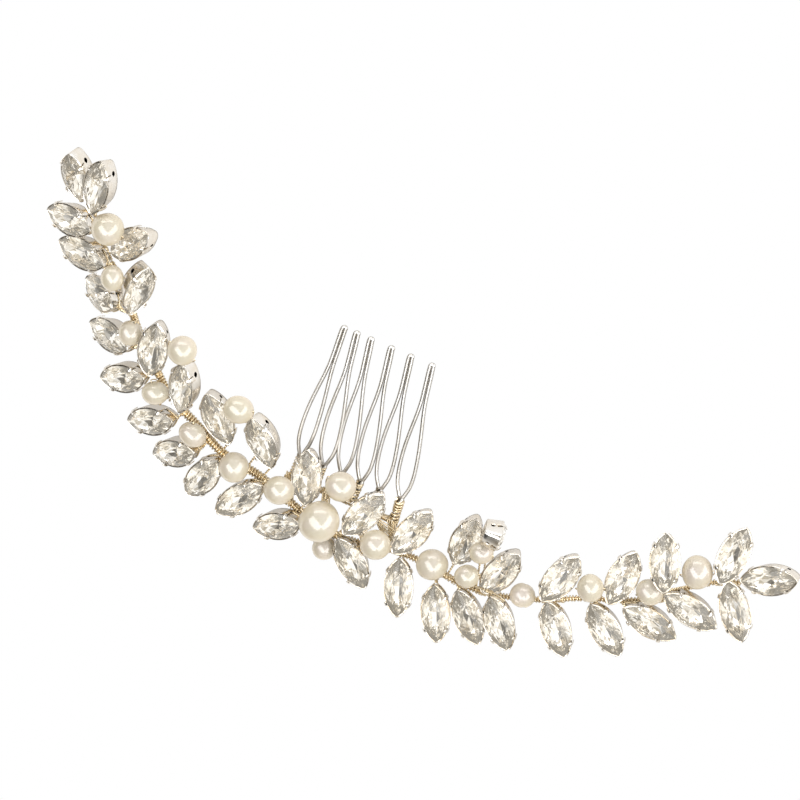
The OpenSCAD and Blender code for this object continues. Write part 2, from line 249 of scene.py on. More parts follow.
left_strip = strip_light("left strip", (-0.72, 0.35, 0.6), (0, -0.66, 0.75), width=400, power=3.8)
right_strip = strip_light("right strip", (0.88, 0.42, 0.25), (0.19, -0.66, 0.73), width=370, power=3.4)
top_strip = strip_light("top strip", (-0.6, 0.9, 0.5), (0.6, 0.9, 0.5), width=300, power=2.0,
                        colour=WARM_WHITE)
for strip in (left_strip, right_strip):
    strip.visible_transmission = False
print("lamps:", [strip.name for strip in (left_strip, right_strip, top_strip)])

# %% [markdown]
# ## The room and the floor
# Glass and metal show little but what they mirror, so the pale room has some grey and
# brown in it and a dim left end, which draws a dark line down each comb wire. Light
# that has passed into a crystal finds the room brighter, in place of the two strips.
# The camera sees the paper as pure white, and everything else sees it as lit paper.


# %% Helpers for shader nodes
def feed(socket, given):
    """Gives an input socket a link from another node's output, or a value of its own."""
    if isinstance(given, bpy.types.NodeSocket):
        socket.id_data.links.new(given, socket)
    else:
        socket.default_value = given


def feed_node(node, **given):
    """Feeds a node's input sockets by name, with _ for a space."""
    for name, one in given.items():
        feed(node.inputs[name.replace("_", " ")], one)
    return node


def add_node(tree, kind, **given):
    """A shader node of that kind, with what its sockets are given."""
    return feed_node(tree.nodes.new("ShaderNode" + kind), **given)


def map_range(tree, **given):
    """Maps Value from its From limits to its To limits. Each pair is 0 and 1 unless given."""
    return add_node(tree, "MapRange", **given).outputs["Result"]


def mix_colours(tree, share, first, second):
    """Blends two colours by a share."""
    mix = add_node(tree, "Mix")
    mix.data_type = "RGBA"
    return feed_node(mix, Factor=share, A=first, B=second).outputs["Result"]


def new_material(name):
    """A new node material, its node tree and its Principled shader."""
    material = bpy.data.materials.new(name)
    material.use_nodes = True
    return material, material.node_tree, material.node_tree.nodes["Principled BSDF"]


# %% Room
ROOM_SHADES = [(0.34, (0.36, 0.32, 0.25, 1)), (0.41, (0.55, 0.51, 0.44, 1)), (0.47, (0.77, 0.75, 0.7, 1)),
               (0.54, (0.9, 0.89, 0.87, 1)), (0.62, (1.0, 0.99, 0.97, 1))]

world = bpy.data.worlds.new("pale room")
bpy.context.scene.world = world
world.use_nodes = True
room = world.node_tree
way_out = add_node(room, "TexCoord").outputs["Generated"]
patches = add_node(room, "TexNoise", Vector=way_out, Scale=5.5, Detail=1.0)
shades = add_node(room, "ValToRGB", Fac=patches.outputs["Fac"])
ramp = shades.color_ramp.elements
ramp[0].position, ramp[0].color = ROOM_SHADES[0]
ramp[1].position, ramp[1].color = ROOM_SHADES[-1]
for position, colour in ROOM_SHADES[1:-1]:
    ramp.new(position).color = colour
to_left = add_node(room, "VectorMath")
to_left.operation = "DOT_PRODUCT"
feed(to_left.inputs[0], way_out)
feed(to_left.inputs[1], (-right).tolist())
left_end = map_range(room, Value=to_left.outputs["Value"], From_Min=0.3, From_Max=0.7,
                     To_Min=1.0, To_Max=0.08)
dimmed = add_node(room, "VectorMath")
dimmed.operation = "SCALE"
feed(dimmed.inputs[0], shades.outputs["Color"])
feed(dimmed.inputs["Scale"], left_end)
in_crystal = add_node(room, "LightPath").outputs["Is Transmission Ray"]
feed_node(room.nodes["Background"], Color=dimmed.outputs["Vector"],
          Strength=map_range(room, Value=in_crystal, To_Min=0.82, To_Max=1.22))
bpy.context.scene.view_settings.view_transform = "Standard"
print("shades in the room:", len(ramp))

# %% Floor
FLOOR_HALF = 1500
floor_corners = FLOOR_HALF * np.array([(-1, -1, 0), (1, -1, 0), (1, 1, 0), (-1, 1, 0)])
floor_mesh = bpy.data.meshes.new("floor")
floor_mesh.from_pydata((floor_corners * MM).tolist(), [], [(0, 1, 2, 3)])
floor = put_in_scene("floor", floor_mesh)
white, paper_tree, paper = new_material("white paper")
from_lens = add_node(paper_tree, "LightPath").outputs["Is Camera Ray"]
feed_node(paper, Specular_IOR_Level=0.0, Roughness=0.8, Emission_Color=(1, 1, 1, 1),
          Base_Color=mix_colours(paper_tree, from_lens, (0.5, 0.5, 0.5, 1), (0, 0, 0, 1)),
          Emission_Strength=map_range(paper_tree, Value=from_lens, To_Min=0.32, To_Max=1.0))
floor_mesh.materials.append(white)
print("floor is", 2 * FLOOR_HALF, "mm wide")

# %% [markdown]
# ## Finishes
# All the finishes share one thing: nothing is perfectly even. Plating has cloudy spots
# and fine scratches, foil has specks, and nacre drifts from cream to rose. One node
# group makes that unevenness, and each material places it with its own colours.


# %% A node group for uneven surfaces
def make_uneven_group():
    """A cloudy mask mixes two colours. Fine grain mixes two roughnesses and gives a height."""
    group = bpy.data.node_groups.new("Uneven surface", "ShaderNodeTree")
    face = group.interface
    for name, kind, value in (("Clean", "Color", (1, 1, 1, 1)), ("Worn", "Color", (0.5, 0.5, 0.5, 1)),
                              ("Cloud Scale", "Float", 300.0), ("Grain Scale", "Float", 3000.0),
                              ("Smooth", "Float", 0.1), ("Rough", "Float", 0.3)):
        face.new_socket(name=name, in_out="INPUT", socket_type="NodeSocket" + kind).default_value = value
    for name, kind in (("Color", "Color"), ("Roughness", "Float"), ("Height", "Float")):
        face.new_socket(name=name, in_out="OUTPUT", socket_type="NodeSocket" + kind)
    given = group.nodes.new("NodeGroupInput").outputs
    place = add_node(group, "TexCoord").outputs["Object"]
    cloud = add_node(group, "TexNoise", Vector=place, Scale=given["Cloud Scale"], Detail=3).outputs["Fac"]
    grain = add_node(group, "TexNoise", Vector=place, Scale=given["Grain Scale"], Detail=2).outputs["Fac"]
    spots = map_range(group, Value=cloud, From_Min=0.42, From_Max=0.68)
    shine = add_node(group, "Mix", Factor=grain, A=given["Smooth"], B=given["Rough"])
    feed_node(group.nodes.new("NodeGroupOutput"), Roughness=shine.outputs["Result"], Height=grain,
              Color=mix_colours(group, spots, given["Clean"], given["Worn"]))
    return group


uneven = make_uneven_group()
print("the group gives:", [item.name for item in uneven.interface.items_tree if item.in_out == "OUTPUT"])


def uneven_material(name, clean, worn, smooth, rough, cloud, grain, edge=None, turn=0.35, dents=0, deep=0):
    """A material and its shader, with the uneven group's colours and roughness.

    An edge colour takes over where the surface turns away. Dents let the grain, so many mm
    deep, bend the light.
    """
    material, tree, shader = new_material(name)
    surface = add_node(tree, "Group")
    surface.node_tree = uneven
    feed_node(surface, Clean=clean, Worn=worn, Smooth=smooth, Rough=rough,
              Cloud_Scale=cloud, Grain_Scale=grain)
    colour = surface.outputs["Color"]
    if edge:
        turned = add_node(tree, "LayerWeight", Blend=turn)
        colour = mix_colours(tree, turned.outputs["Facing"], colour, edge)
    feed_node(shader, Base_Color=colour, Roughness=surface.outputs["Roughness"])
    if dents:
        bump = add_node(tree, "Bump", Strength=dents, Distance=deep * MM, Height=surface.outputs["Height"])
        feed_node(shader, Normal=bump.outputs["Normal"])
    return material, shader


# %% Metals
METAL_GRAIN, METAL_GRAIN_DEEP = 2500.0, 0.04


# Each metal's edge colour is darker than its body: painted shade along the sides of every wire and cup.
def metal(name, clean, worn, edge, smooth, rough, cloud=220.0, dents=0.15, turn=0.35):
    """A plated metal: its colour drifts, grain bends the light, and where it turns away its edge colour
    darkens it as painted shade.
    """
    material, shader = uneven_material(name, clean, worn, smooth, rough, cloud, METAL_GRAIN,
                                       edge, turn, dents, METAL_GRAIN_DEEP)
    feed_node(shader, Metallic=1)
    return material


# The stem's core is a darker gold: painted shade for the gaps between the turns of its binding.
shaded = metal("shaded gold wire", clean=(0.62, 0.46, 0.27, 1), worn=(0.44, 0.31, 0.16, 1),
               edge=(0.32, 0.22, 0.11, 1), smooth=0.25, rough=0.45, cloud=400.0)
champagne = metal("champagne plating", clean=(0.93, 0.92, 0.9, 1), worn=(0.86, 0.8, 0.7, 1),
                  edge=(0.66, 0.57, 0.45, 1), smooth=0.12, rough=0.3)
gold = metal("pale gold wire", clean=(0.95, 0.83, 0.6, 1), worn=(0.84, 0.69, 0.46, 1),
             edge=(0.7, 0.54, 0.33, 1), smooth=0.16, rough=0.36, cloud=400.0)
# The silver's edge colour is near black and spread wide: painted shade down both flanks of each comb wire.
silver = metal("silver comb wire", clean=(0.88, 0.87, 0.86, 1), worn=(0.76, 0.74, 0.7, 1),
               edge=(0.17, 0.135, 0.085, 1), smooth=0.26, rough=0.36, cloud=150.0, dents=0.03, turn=0.6)
foil = metal("foiled back", clean=(0.98, 0.97, 0.95, 1), worn=(0.95, 0.91, 0.84, 1),
             edge=(0.96, 0.94, 0.9, 1), smooth=0.03, rough=0.09, cloud=500.0, dents=0.02)
print("metals:", [material.name for material in (shaded, champagne, gold, silver, foil)])

# %% [markdown]
# ## Crystal
# Cheap glass looks dull because light leaves it through the back. A jeweller's crystal
# has foil behind its pavilion, so light that comes in through the crown is thrown back
# out. Both are modelled as they are: the crown is clear glass, the pavilion a mirror.
# The foil's outer side is painted near black: painted shade for the hollow cup that the thread holes show.
# Some light bounces in a real stone more often than the renderer follows, which would leave
# the stone's ends black, so the foil's inner side gives off a faint glow in its place.

# %% Foil with two sides
# Near black on the foil's outer side: painted shade for the inside of the cup seen through the thread holes.
PAINTED_HOLE_SHADE = (0.05, 0.036, 0.022, 1)
NO_GLOW, INNER_GLOW, GLOW_STRENGTH = (0, 0, 0, 1), (1.0, 0.93, 0.8, 1), 0.115
foil_tree = foil.node_tree
foil_shader = foil_tree.nodes["Principled BSDF"]
from_inside = add_node(foil_tree, "NewGeometry").outputs["Backfacing"]
bright_side = foil_shader.inputs["Base Color"].links[0].from_socket
feed_node(foil_shader, Base_Color=mix_colours(foil_tree, from_inside, PAINTED_HOLE_SHADE, bright_side),
          Emission_Color=mix_colours(foil_tree, from_inside, NO_GLOW, INNER_GLOW),
          Emission_Strength=GLOW_STRENGTH)
print("the foil's inner side glows with strength", GLOW_STRENGTH)

# %% Clear glass
glass, glass_shader = uneven_material("clear crystal", clean=(1.0, 1.0, 1.0, 1), worn=(0.975, 0.965, 0.94, 1),
                                      smooth=0.0, rough=0.02, cloud=260.0, grain=900.0)
feed_node(glass_shader, Transmission_Weight=1, IOR=1.46)
print("the glass's refractive index:", round(glass_shader.inputs["IOR"].default_value, 2))

# %% [markdown]
# ## Pearl
# Nacre is thin layers of crystal over a cream body. Straight on it looks ivory, and at
# the edge the layers show a warmer, yellower tone. A facing mask mixes the two, a cloudy
# mask adds rose, and a clear coat gives the sharp highlight over the soft one.

# %% Nacre
nacre, nacre_shader = uneven_material(
    "ivory nacre", clean=(0.495, 0.46, 0.37, 1), worn=(0.515, 0.46, 0.415, 1), smooth=0.26, rough=0.38,
    cloud=170.0, grain=1500.0, edge=(0.78, 0.645, 0.42, 1), dents=0.12, deep=0.05)
feed_node(nacre_shader, Coat_Weight=0.85, Coat_Roughness=0.12, Coat_IOR=1.95, Specular_IOR_Level=0.6)
print("nacre's coat weighs", round(nacre_shader.inputs["Coat Weight"].default_value, 2))

# %% [markdown]
# ## Where each crystal sits
# The model holds each crystal as a solid. Its own axes are found from its points: they
# spread most along its length, then across it, then through it. The point of the
# pavilion tells which way is down. The setting is then built on the same axes.

# %% Sizes of the crystals and settings
STONE_L, STONE_W = 15.0, 7.0
CROWN_H, GIRDLE_H, PAVILION_H = 1.1, 0.3, 2.8
CUP_H, CUP_WALL, CUP_TAPER, STONE_FIT = 4.0, 0.25, 0.8, 0.2
SETTING_L = STONE_L + 2 * (STONE_FIT + CUP_WALL)
SETTING_W = STONE_W + 2 * (STONE_FIT + CUP_WALL)


def node_points(name):
    """A CAD node's points in mm, in the order of its mesh."""
    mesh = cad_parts[name].data
    points = np.zeros(len(mesh.vertices) * 3, dtype=np.float32)
    mesh.vertices.foreach_get("co", points)
    return np.round(points.reshape(-1, 3) / MM, 3)


# %% The stem's line and the leaves beside it
LEAF_STEP = 8.0
STEM_ROUTE = LEAF_STEP * np.array([
    [-10.3, 6.35, 0.95], [-9.4, 5.0, 0.95], [-8.5, 4.15, 0.95], [-7.75, 3.15, 0.95],
    [-6.9, 2.2, 0.95], [-6.0, 1.35, 0.95], [-4.95, 0.75, 0.85], [-3.9, 0.15, 0.75],
    [-2.65, -0.15, 0.6], [-1.45, -0.65, 0.45], [-0.25, -1.05, 0.45], [1.0, -1.05, 0.4],
    [2.2, -0.8, 0.35], [3.35, -0.85, 0.3], [4.55, -1.0, 0.3], [5.75, -0.85, 0.25],
    [6.95, -0.4, 0.25], [8.05, 0.2, 0.25], [9.2, 0.7, 0.25], [10.3, 1.3, 0.25],
    [11.1, 2.25, 0.25], [12.2, 2.85, 0.25]])
STEM_STEPS = 12
stem_line = smooth_line(STEM_ROUTE, STEM_STEPS)


def stem_at(station):
    """The stem's middle at a station, counted in route points from its left end."""
    at = np.clip(station, 0, len(STEM_ROUTE) - 1) * STEM_STEPS
    return np.array([np.interp(at, np.arange(len(stem_line)), stem_line[:, axis]) for axis in range(3)])


def leaf_of(name):
    """The middle of a crystal's girdle, at its upper edge, and its axes as columns.

    They run along it and away from the stem, across it, and up through it.
    """
    points = np.unique(node_points(name), axis=0)
    middle = points.mean(0)
    _, _, rows = np.linalg.svd(points - middle, full_matrices=False)
    along, through = rows[0], rows[2]
    depth = (points - middle) @ through
    if depth.max() > -depth.min():
        through, depth = -through, -depth
    origin = points[np.argmin(depth)] + (GIRDLE_H + PAVILION_H) * through
    ends = origin + np.array([[-1], [1]]) * SETTING_L / 2 * along
    reach = [np.linalg.norm(stem_line - end, axis=1).min() for end in ends]
    along = along if reach[0] < reach[1] else -along
    return origin, np.stack([along, np.cross(through, along), through], axis=1)


def on_leaf(points, leaf):
    """Points of a leaf's own frame, turned and moved to where that leaf is."""
    origin, axes = leaf
    return points @ axes.T + origin


leaves = [leaf_of(name) for name in CRYSTALS]
print("first leaf is at", leaves[0][0].round(1), "the last at", leaves[-1][0].round(1))

# %% [markdown]
# ## The cut of a crystal
# Two arcs meet in the outline's points. The crown has a flat table with eight star
# facets round it, then long kites down to the girdle. Under the girdle, rings of ever
# fewer facets fall to the culet. All the facets are flat, so the faces stay unsmoothed.
# The girdle is in the setting's metal and widens downwards to a narrow ledge, which
# meets the wall of the setting, so that no dark gap shows round the stone.

# %% Crystals
FULLNESS = 0.2
FACETS_H = 2.8
LEDGE = 1.045
AROUND = 16
GLASS, FOIL, GIRDLE = 0, 1, 2
# Rings from the table down: points, share of the outline, height, and shift in steps.
CUT = [(8, 0.5, CROWN_H, 0.0), (8, 0.76, 0.62 * CROWN_H, 0.5), (AROUND, 1.0, 0.0, 0.0),
       (AROUND, LEDGE, -GIRDLE_H, 0.0), (8, 0.68, -GIRDLE_H - 0.42 * FACETS_H, 0.5),
       (8, 0.36, -GIRDLE_H - 0.76 * FACETS_H, 0.0)]


def arc_radius(length, width):
    """Radius of the two arcs whose overlap has that length and width."""
    return (length**2 + width**2) / (4 * width)


def fuller(x, y, length, width):
    """The arcs' half width blended with an ellipse's: real crystals are full towards their points."""
    round_side = width / 2 * np.sqrt(np.clip(1 - (2 * x / length)**2, 0, 1))
    return np.sign(y) * ((1 - FULLNESS) * np.abs(y) + FULLNESS * round_side)


def outline_ring(count, share, height, shift):
    """Points round the crystal's outline, at even angles on each arc, shrunk by a share."""
    k = (np.arange(count) + shift) * AROUND / count
    r = arc_radius(STONE_L, STONE_W)
    a = np.arcsin(STONE_L / 2 / r) * (1 - np.abs(AROUND / 2 - k) / (AROUND / 4))
    side = np.where(k < AROUND / 2, 1, -1)
    x, y = -r * np.sin(a), side * (r * np.cos(a) - (r - STONE_W / 2))
    y = fuller(x, y, STONE_L, STONE_W)
    return np.stack([x * share, y * share, np.full(count, height)], axis=1)


def cut_crystal():
    """Rings of points, each a share of the outline at its own height, joined by flat facets."""
    rings = [outline_ring(*ring) for ring in CUT] + [np.array([[0, 0, -GIRDLE_H - FACETS_H]])]
    points = np.concatenate(rings)
    # Table, star and girdle, then the ledge, the upper and lower pavilion, and the culet.
    t, s, g, h, u, w, c = np.split(np.arange(len(points)), np.cumsum([len(r) for r in rings])[:-1])
    crown, behind = [list(t)], []
    for j in range(8):
        n, p = (j + 1) % 8, (j - 1) % 8
        crown += [[t[j], s[j], t[n]], [t[j], s[p], g[2 * j]], [t[j], g[2 * j], s[j]],
                  [s[j], g[2 * j], g[2 * j + 1]], [s[j], g[2 * j + 1], g[2 * n]]]
        behind += [[h[2 * j], u[j], h[2 * j + 1]], [h[2 * j + 1], u[j], h[2 * n]],
                   [h[2 * j], u[p], w[j]], [h[2 * j], w[j], u[j]],
                   [u[j], w[j], w[n]], [w[j], c[0], w[n]]]
    girdle = [[g[k], h[k], h[(k + 1) % AROUND], g[(k + 1) % AROUND]] for k in range(AROUND)]
    kinds = [GLASS] * len(crown) + [GIRDLE] * len(girdle) + [FOIL] * len(behind)
    return points, crown + girdle + behind, kinds


crystal_points, crystal_faces, crystal_kinds = cut_crystal()
for name, leaf in zip(CRYSTALS, leaves):
    add_piece(name.replace("navette", "crystal"), (on_leaf(crystal_points, leaf), crystal_faces),
              [glass, foil, champagne], [name], kinds=crystal_kinds)

# %% [markdown]
# ## The settings
# A setting is stamped from thin plate: a boat-shaped cup whose wall leans in towards
# its back, two thread holes in each side, and four claws that are cut free of the wall
# and pressed over the stone. The wall is one closed grid round the outline. The holes
# and the cuts beside the claws are taken out with one boolean, as a drill would.

# %% The cup
LEAN = CUP_TAPER / CUP_H
SETTING_R = arc_radius(SETTING_L, SETTING_W)
COLUMNS, EASED = 36, 3
# Heights under the rim and insets: up the outside, over the rim and down the inside.
CUP_PROFILE = [(-CUP_H, 0.12), (-CUP_H + 0.12, 0.0), (-2.8, 0.0), (-1.4, 0.0), (-0.25, 0.0),
               (-0.06, 0.03), (0.0, 0.1), (-0.06, 0.2), (-0.25, CUP_WALL), (-1.4, CUP_WALL),
               (-2.8, CUP_WALL), (CUP_WALL - CUP_H, CUP_WALL)]


def pod_ring(height, inset):
    """The overlap of two discs whose radius grows with height. Its points are eased a little."""
    length, width = SETTING_L - 2 * inset, SETTING_W - 2 * inset
    r = arc_radius(length, width) + height * LEAN
    off = arc_radius(length, width) - width / 2
    a = np.arccos(off / r) * np.linspace(-1, 1, COLUMNS + 1)[:-1]
    x, y = r * np.sin(a), r * np.cos(a) - off
    half = np.stack([x, fuller(x, y, 2 * np.sqrt(r**2 - off**2), 2 * (r - off))], axis=1)
    ring = np.concatenate([half, -half])
    for _ in range(EASED):
        ring = (np.roll(ring, 1, axis=0) + 2 * ring + np.roll(ring, -1, axis=0)) / 4
    return np.column_stack([ring, np.full(len(ring), height)])


def cup():
    """A ring at each place of the profile: both walls are one skin, closed by the cup's floor."""
    rings = [pod_ring(height, inset) for height, inset in CUP_PROFILE]
    return np.concatenate(rings), grid_faces(len(rings), 2 * COLUMNS, inward=True)


# %% The claws
CLAW_W, CLAW_T, CLAW_SIDES = 1.1, 0.24, 8
CLAW_NARROWER, CLAW_TIP, CLAW_SQUARE = 0.45, 0.02, 0.6
INNER_L, INNER_W = STONE_L + 2 * STONE_FIT, STONE_W + 2 * STONE_FIT
INNER_R = arc_radius(INNER_L, INNER_W)
CLAW_ANGLE = np.arcsin(INNER_L / 2 / INNER_R) / 2
CLAW_X = INNER_R * np.sin(CLAW_ANGLE)
CLAW_Y = INNER_W / 2 - INNER_R * (1 - np.cos(CLAW_ANGLE))
CLAW_OUT = fuller(CLAW_X, CLAW_Y, INNER_L, INNER_W) - CLAW_Y
# Out from the inner wall and up from the rim: along the wall, then bent in over the stone.
CLAW_PATH = [(0.3, -1.5), (0.32, -0.9), (0.34, -0.2), (0.28, 0.25), (0.02, 0.55), (-0.3, 0.82), (-0.58, 1.0)]


def claw():
    """A strip along a bent path that narrows to a round end, on the inner wall's own frame."""
    path = smooth_line([(0, out, height) for out, height in CLAW_PATH], steps=3)
    share = np.linspace(0, 1, len(path))
    half = CLAW_W / 2 * (1 - CLAW_NARROWER * share**2) * np.sqrt(np.clip(1.04 - share**10, CLAW_TIP, 1))
    ahead = unit(np.gradient(path, axis=0))
    side = np.array([1.0, 0, 0])
    top = np.cross(ahead, side)
    a = 2 * np.pi * (np.arange(CLAW_SIDES) + 0.5) / CLAW_SIDES
    wide, thick = np.sign(np.cos(a)) * np.abs(np.cos(a))**CLAW_SQUARE, np.sin(a)
    points = (path[:, None] + half[:, None, None] * wide[None, :, None] * side
              + CLAW_T / 2 * thick[None, :, None] * top[:, None])
    return points.reshape(-1, 3), grid_faces(len(path), CLAW_SIDES)


def round_the_cup(shape, side, end):
    """From the inner wall's own frame to a claw's place: turned about the arc's centre, or mirrored."""
    points, faces = shape
    c, s = np.cos(end * CLAW_ANGLE), np.sin(end * CLAW_ANGLE)
    x, y = points[:, 0], points[:, 1] + INNER_R + CLAW_OUT
    turned = np.stack([c * x - s * y, s * x + c * y - (INNER_R - INNER_W / 2), points[:, 2]], axis=1)
    return turned * [1, side, 1], faces if side > 0 else [face[::-1] for face in faces]


FOUR_PLACES = [(side, end) for side in (-1, 1) for end in (-1, 1)]
one_claw = claw()
claws = [round_the_cup(one_claw, side, end) for side, end in FOUR_PLACES]
print("one claw has", len(one_claw[1]), "faces")

# %% The holes and the cuts beside the claws
HOLE_PLACE, HOLE_DROP, THREAD_HOLE = 0.29 * SETTING_L, -0.6 * CUP_H, 1.2
SLIT_W, SLIT_DEEP, SAW_TOP, SAW_OUT, SAW_WIDE = 0.16, 1.3, 1.0, 0.13, 0.8


def saw_cut(beside):
    """A flat blade on the inner wall's own frame: a square tube, squeezed to the slit's width."""
    middle = np.array([beside * (CLAW_W / 2 + SLIT_W / 2), SAW_OUT, 0])
    blade, faces = tube(middle + [[0, 0, SAW_TOP], [0, 0, -SLIT_DEEP]], 1, sides=4, across=(1, 1, 0))
    return (blade - middle) * [SLIT_W / np.sqrt(2), SAW_WIDE, 1] + middle, faces


def cutters():
    """Two drills right across the cup, and a thin saw cut on either side of each claw."""
    parts = []
    for end in (-1, 1):
        line = np.array([[end * HOLE_PLACE, y, HOLE_DROP] for y in (-SETTING_W, SETTING_W)])
        parts.append(tube(line, THREAD_HOLE / 2, sides=20))
    for side, end in FOUR_PLACES:
        parts += [round_the_cup(saw_cut(beside), side, end) for beside in (-1, 1)]
    return joined(parts)


def cut_out(shape, cutter):
    """The shape less the cutter, by an exact boolean on two throwaway objects."""
    objects = []
    for points, faces in (shape, cutter):
        mesh = bpy.data.meshes.new("blank")
        mesh.from_pydata(np.asarray(points).tolist(), [], faces)
        objects.append(put_in_scene("blank", mesh))
    saw = objects[0].modifiers.new("saw", "BOOLEAN")
    saw.operation, saw.solver, saw.object = "DIFFERENCE", "EXACT", objects[1]
    seen = objects[0].evaluated_get(bpy.context.evaluated_depsgraph_get())
    mesh = seen.to_mesh()
    points = np.array([tuple(v.co) for v in mesh.vertices])
    faces = [list(face.vertices) for face in mesh.polygons]
    for thing in objects:
        bpy.data.objects.remove(thing)
    return points, faces


setting_points, setting_faces = joined([cut_out(cup(), cutters())] + claws)
print("one setting has", len(setting_faces), "faces")

# %% All the settings
PER_PART = len(leaves) // len(PARTS)
for part, first in zip(PARTS, range(0, len(leaves), PER_PART)):
    some = leaves[first:first + PER_PART]
    shape = joined([(on_leaf(setting_points, leaf), setting_faces) for leaf in some])
    add_piece("cups_" + part, shape, [champagne], ["settings_" + part], crease=40)

# %% [markdown]
# ## The pearls
# Each pearl is a ball with a hole through it. The model has them as true balls; real
# ones are slightly flat here and full there. The pieces of a node are told apart by
# which triangles share points. The short walls inside a ball give the way of its hole
# in the model, and the stem's point on that way is where the pearl's wire starts.

# %% Balls in the frame
NEAR_STEM = 2.6 * LEAF_STEP
BORE_WITHIN = 0.9


def separate(name):
    """The loose pieces of a node: points, and the triangles of each, by spreading the lowest label."""
    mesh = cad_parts[name].data
    corners = np.zeros(len(mesh.loops), dtype=np.int32)
    mesh.loops.foreach_get("vertex_index", corners)
    points, merged = np.unique(node_points(name), axis=0, return_inverse=True)
    triangles = merged.reshape(-1)[corners].reshape(-1, 3)
    label = np.arange(len(points))
    while True:
        low = label[triangles].min(axis=1)
        spread = label.copy()
        np.minimum.at(spread, triangles, low[:, None])
        spread = spread[spread]
        if (spread == label).all():
            break
        label = spread
    groups = [triangles[label[triangles[:, 0]] == one] for one in np.unique(label[triangles[:, 0]])]
    return points, groups


def ball(points, triangles):
    """Middle and radius of one drilled ball, and the stem's point nearest to the line of its bore."""
    own = points[np.unique(triangles)]
    middle = (own.min(0) + own.max(0)) / 2
    radius = np.linalg.norm(own - middle, axis=1).max()
    from_middle = np.linalg.norm(points[triangles].mean(axis=1) - middle, axis=1)
    bore = points[np.unique(triangles[from_middle < BORE_WITHIN * radius])] - middle
    _, _, rows = np.linalg.svd(bore, full_matrices=False)
    to_stem = stem_line - middle
    off = np.linalg.norm(to_stem - (to_stem @ rows[0])[:, None] * rows[0], axis=1)
    near = np.linalg.norm(to_stem, axis=1) < NEAR_STEM
    return middle, radius, stem_line[np.argmin(np.where(near, off, np.inf))]


pearls = {}
for node in ["pearls_" + part for part in PARTS] + ["centre_pearl"]:
    points, groups = separate(node)
    pearls[node] = [ball(points, triangles) for triangles in groups]
    print(node, "balls:", len(pearls[node]), "first radius:", round(pearls[node][0][1], 2))

# %% Pearls
PEARL_BORE, BORE_RINGS = 0.8, np.array([-0.9, 0.0, 0.9])
PEARL_ROWS, PEARL_COLUMNS = 40, 48
RIM_WORN, RIM_WORN_OVER = 0.1, 0.06
SWELLING, SWELL_WAVES, PEARL_LESS = 0.011, (1.2, 1.8, 2.6, 3.4), 0.01
GROOVE_AT, GROOVE_WIDE = 0.15, 0.12
# For each pearl from left to right: how much longer it is one way, and that way's heading.
PEARL_STRETCH = [(1.02, 110), (1.15, 110), (1.08, 110), (1.15, 20), (1.0, 0), (1.18, -10), (1.1, 20),
                 (1.0, 0), (1.08, 20), (1.08, 60), (1.03, 20), (1.0, 0), (1.03, 20), (1.03, 20),
                 (1.1, 20), (1.1, 20), (1.08, 20), (1.07, 110), (1.1, 0), (1.13, 110)]
# The pearls with a groove round them, counted from the left, and how deep it is.
GROOVES = {16: 0.05}


def pearl(middle, radius, axis, stretch, groove, seed):
    """Round the bore: a ball from hole to hole, then the bore's wall back. Slow waves swell it."""
    rng = np.random.default_rng(seed)
    hole = np.arcsin(PEARL_BORE / 2 / radius)
    polar = np.linspace(hole, np.pi - hole, PEARL_ROWS)
    rim = (RIM_WORN * np.exp(-(polar - hole) / RIM_WORN_OVER)
           + RIM_WORN * np.exp(-(np.pi - hole - polar) / RIM_WORN_OVER))
    r = np.concatenate([radius * np.sin(polar), [PEARL_BORE / 2] * len(BORE_RINGS)])
    z = np.concatenate([(radius - rim) * np.cos(polar), radius * BORE_RINGS])
    a = 2 * np.pi * np.arange(PEARL_COLUMNS) / PEARL_COLUMNS
    ready = np.stack([r[:, None] * np.cos(a), r[:, None] * np.sin(a), z[:, None] + 0 * a], axis=-1)
    way = unit(ready)
    swell = np.zeros(ready.shape[:2])
    for pull in SWELL_WAVES:
        for _ in range(2):
            swell += SWELLING / pull * np.sin(pull * way @ unit(rng.normal(size=3)) * 2 + rng.uniform(0, 6))
    swell -= groove * np.exp(-((way[..., 2] - GROOVE_AT) / GROOVE_WIDE)**2)
    ready[:PEARL_ROWS] *= (1 + swell[:PEARL_ROWS] - PEARL_LESS)[..., None]
    side = unit(np.cross(axis, [0.3, 0.5, 0.81]))
    turned = ready @ np.stack([side, np.cross(axis, side), axis])
    longer, heading = stretch[0], np.radians(stretch[1])
    level = np.array([np.cos(heading), np.sin(heading), 0.0])
    turned = (turned + (longer - 1) * (turned @ level)[..., None] * level) / longer**0.5
    return turned.reshape(-1, 3) + middle, grid_faces(len(r), PEARL_COLUMNS, inward=True, ring=True)


def bore_of(middle, root):
    """The bore's way: level, and square to the wires that come up from the stem."""
    return unit(np.cross(middle - root, [0, 0, 1.0]))


from_left = sorted(one[0][0] for balls in pearls.values() for one in balls)
for node, balls in pearls.items():
    shapes = []
    for middle, radius, root in balls:
        order = from_left.index(middle[0])
        shapes.append(pearl(middle, radius, bore_of(middle, root), PEARL_STRETCH[order],
                            GROOVES.get(order, 0.0), seed=order))
    add_piece(node.replace("pearls", "beads"), joined(shapes), [nacre], [node], crease=50)

# %% [markdown]
# ## The stem and its wires
# Every crystal and pearl comes with its own craft wire of 0.3 mm. The wires run
# together along the stem, and one more wire is wound tightly round the bundle. Each
# stalk is a twisted pair. So the stem is a core with a long helix over it, and a
# stalk is two short helices half a turn apart.

